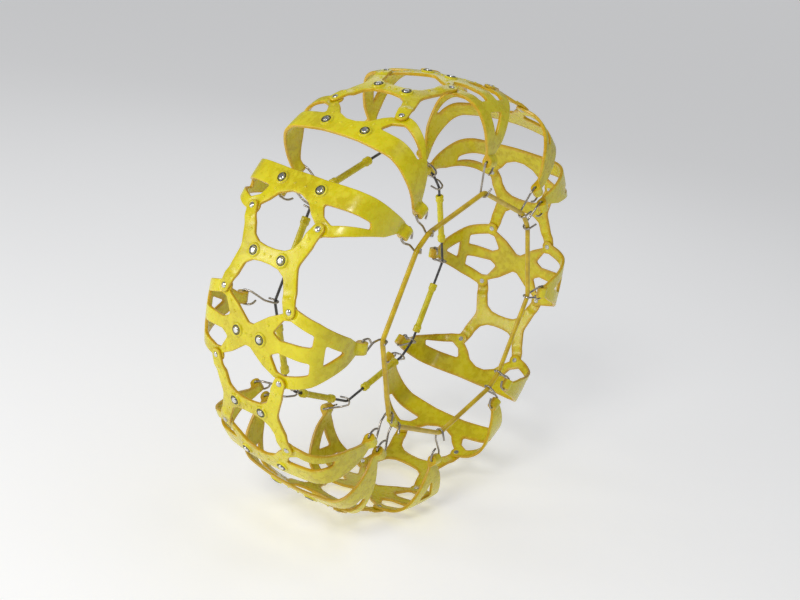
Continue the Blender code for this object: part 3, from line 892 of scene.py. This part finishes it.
def make_hooks(finish):
    """A wire hook in each barrel, outer and inner, each on its own body."""
    wire = wire_mesh("hook", hook_path(), WIRE_RADIUS, 5)
    for section, angle in SECTION_ANGLES.items():
        for number, along in enumerate(tip_alongs(), 1):
            for face, side in (("outer", -1), ("inner", 1)):
                name = f"{section}_{face}_hook_{number}"
                matrix = turn(angle) @ hook_frame(along, side)
                place(name + "_wire", wire, [finish], matrix, name, "plated_steel", [name])


def ring_corners(side, drop):
    """Where the hooks hold a cord or cable: one corner for each tip round the wheel, in order."""
    corners = []
    for angle in SECTION_ANGLES.values():
        for along in tip_alongs():
            matrix = turn(angle) @ hook_frame(along, side)
            corners.append(matrix @ (Vector((0.0, 0.0, -HOOK_REACH - drop)) * MM) / MM)
    return corners


def softened(corners, reach, steps):
    """The closed polygon with each corner rounded."""
    points = []
    for i, corner in enumerate(corners):
        points += curved(corners[i - 1], corner, corners[(i + 1) % len(corners)], reach, steps)
    return points


def span_frame(start, end):
    """The middle of a straight span, with X along it."""
    along = (end - start).normalized()
    away = Vector((0.0, 1.0, 0.0))
    columns = Matrix((along, away, along.cross(away))).transposed()
    return Matrix.Translation((start + end) / 2 * MM) @ columns.to_4x4()


def make_outer_cord(rubber, yellow):
    corners = ring_corners(-1, 0.0)
    cord = wire_mesh("cord", softened(corners, 6.5, 8), CORD_RADIUS, 6, True)
    place("outer_cord", cord, [rubber], Matrix(), ROOT, "cord_rubber", ["outer_tension_cord"])
    bore = CORD_RADIUS + 0.15
    outside = [(-7.0, 5.0), (-6.7, 5.6), (-6.0, 6.1), (-5.2, 6.2), (-4.6, 5.7), (4.6, 5.7)]
    outside += [(5.2, 6.2), (6.0, 6.1), (6.7, 5.6), (7.0, 5.0)]
    mesh = shaded(turned_mesh("joiner", outside + [(7.0, bore), (-7.0, bore)], 36, True), 50)
    matrix = span_frame(corners[-1], corners[0])
    place("cord_joiner", mesh, [yellow], matrix, ROOT, "joiner_plastic", ["outer_cord_joiner"])


def make_inner_cable(coating, yellow, steel):
    corners = ring_corners(1, CABLE_DROP)
    cable = wire_mesh("cable", softened(corners, 5.0, 6), CABLE_RADIUS, 5, True)
    place("inner_cable_run", cable, [coating], Matrix(), ROOT, "coated_cable", ["inner_cable"])
    bore = CABLE_RADIUS + 0.15
    outside = [(-8.0, 3.2), (-7.6, 3.7), (-7.0, 3.9), (-4.0, 3.9), (-3.4, 3.5), (-2.6, 3.5), (-2.0, 3.9)]
    outside += [(-x, radius) for x, radius in reversed(outside)]
    mesh = shaded(turned_mesh("coupler", outside + [(8.0, bore), (-8.0, bore)], 32, True), 40)
    matrix = span_frame(corners[-1], corners[0])
    place("inner_cable_ferrule", mesh, [steel], matrix, ROOT, "plated_steel", ["inner_cable_coupler"])
    half, knob = SLEEVE_LENGTH / 2, SLEEVE_LENGTH / 2 - KNOB_LENGTH
    end = [(half, 4.6), (half - 0.4, 5.6), (half - 1.5, 6.3), (half - 3.0, 6.5), (half - 5.0, 6.1)]
    end += [(half - 6.0, 6.1), (half - 8.0, 6.5), (knob + 2.4, 6.3), (knob + 1.0, 5.6), (knob - 0.5, 4.9)]
    end += [(knob - 4.0, 4.8)]
    outside = [(-x, radius) for x, radius in end] + list(reversed(end))
    bore = CABLE_RADIUS + 0.7
    sleeve = shaded(turned_mesh("sleeve", outside + [(half, bore), (-half, bore)], 32, True), 50)
    number = 0
    for i, (start, finish) in enumerate(zip(corners, corners[1:] + corners[:1])):
        if i % 3 == 2:
            continue        # the short span between two sections has no sleeve
        number += 1
        shift = -SLEEVE_SHIFT if i % 3 == 0 else SLEEVE_SHIFT
        matrix = span_frame(start, finish) @ Matrix.Translation((shift * MM, 0.0, 0.0))
        name = f"inner_sleeve_{number}"
        place(name + "_tube", sleeve, [yellow], matrix, name, "tpu_yellow", [name])


def main():
    make_camera()
    make_studio()
    yellow = tpu_material()
    steel = steel_material("plated_steel", (0.70, 0.68, 0.64), 0.16, 0.34)
    bright = steel_material("stud_steel", (0.80, 0.80, 0.78), 0.14, 0.30)
    # painted shade: the collar's near-black steel stands for the shade it sits in round the pin
    dark = steel_material("collar_steel_painted_shade", (0.10, 0.095, 0.09), 0.22, 0.40)
    wire = steel_material("wire_steel", (0.46, 0.42, 0.37), 0.18, 0.36)
    make_panels(yellow)
    make_studs(bright, dark)
    make_rivets(steel)
    make_hooks(wire)
    make_outer_cord(cord_material(), yellow)
    make_inner_cable(cable_material(), yellow, steel)
    make_floor(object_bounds()[0].z)


main()
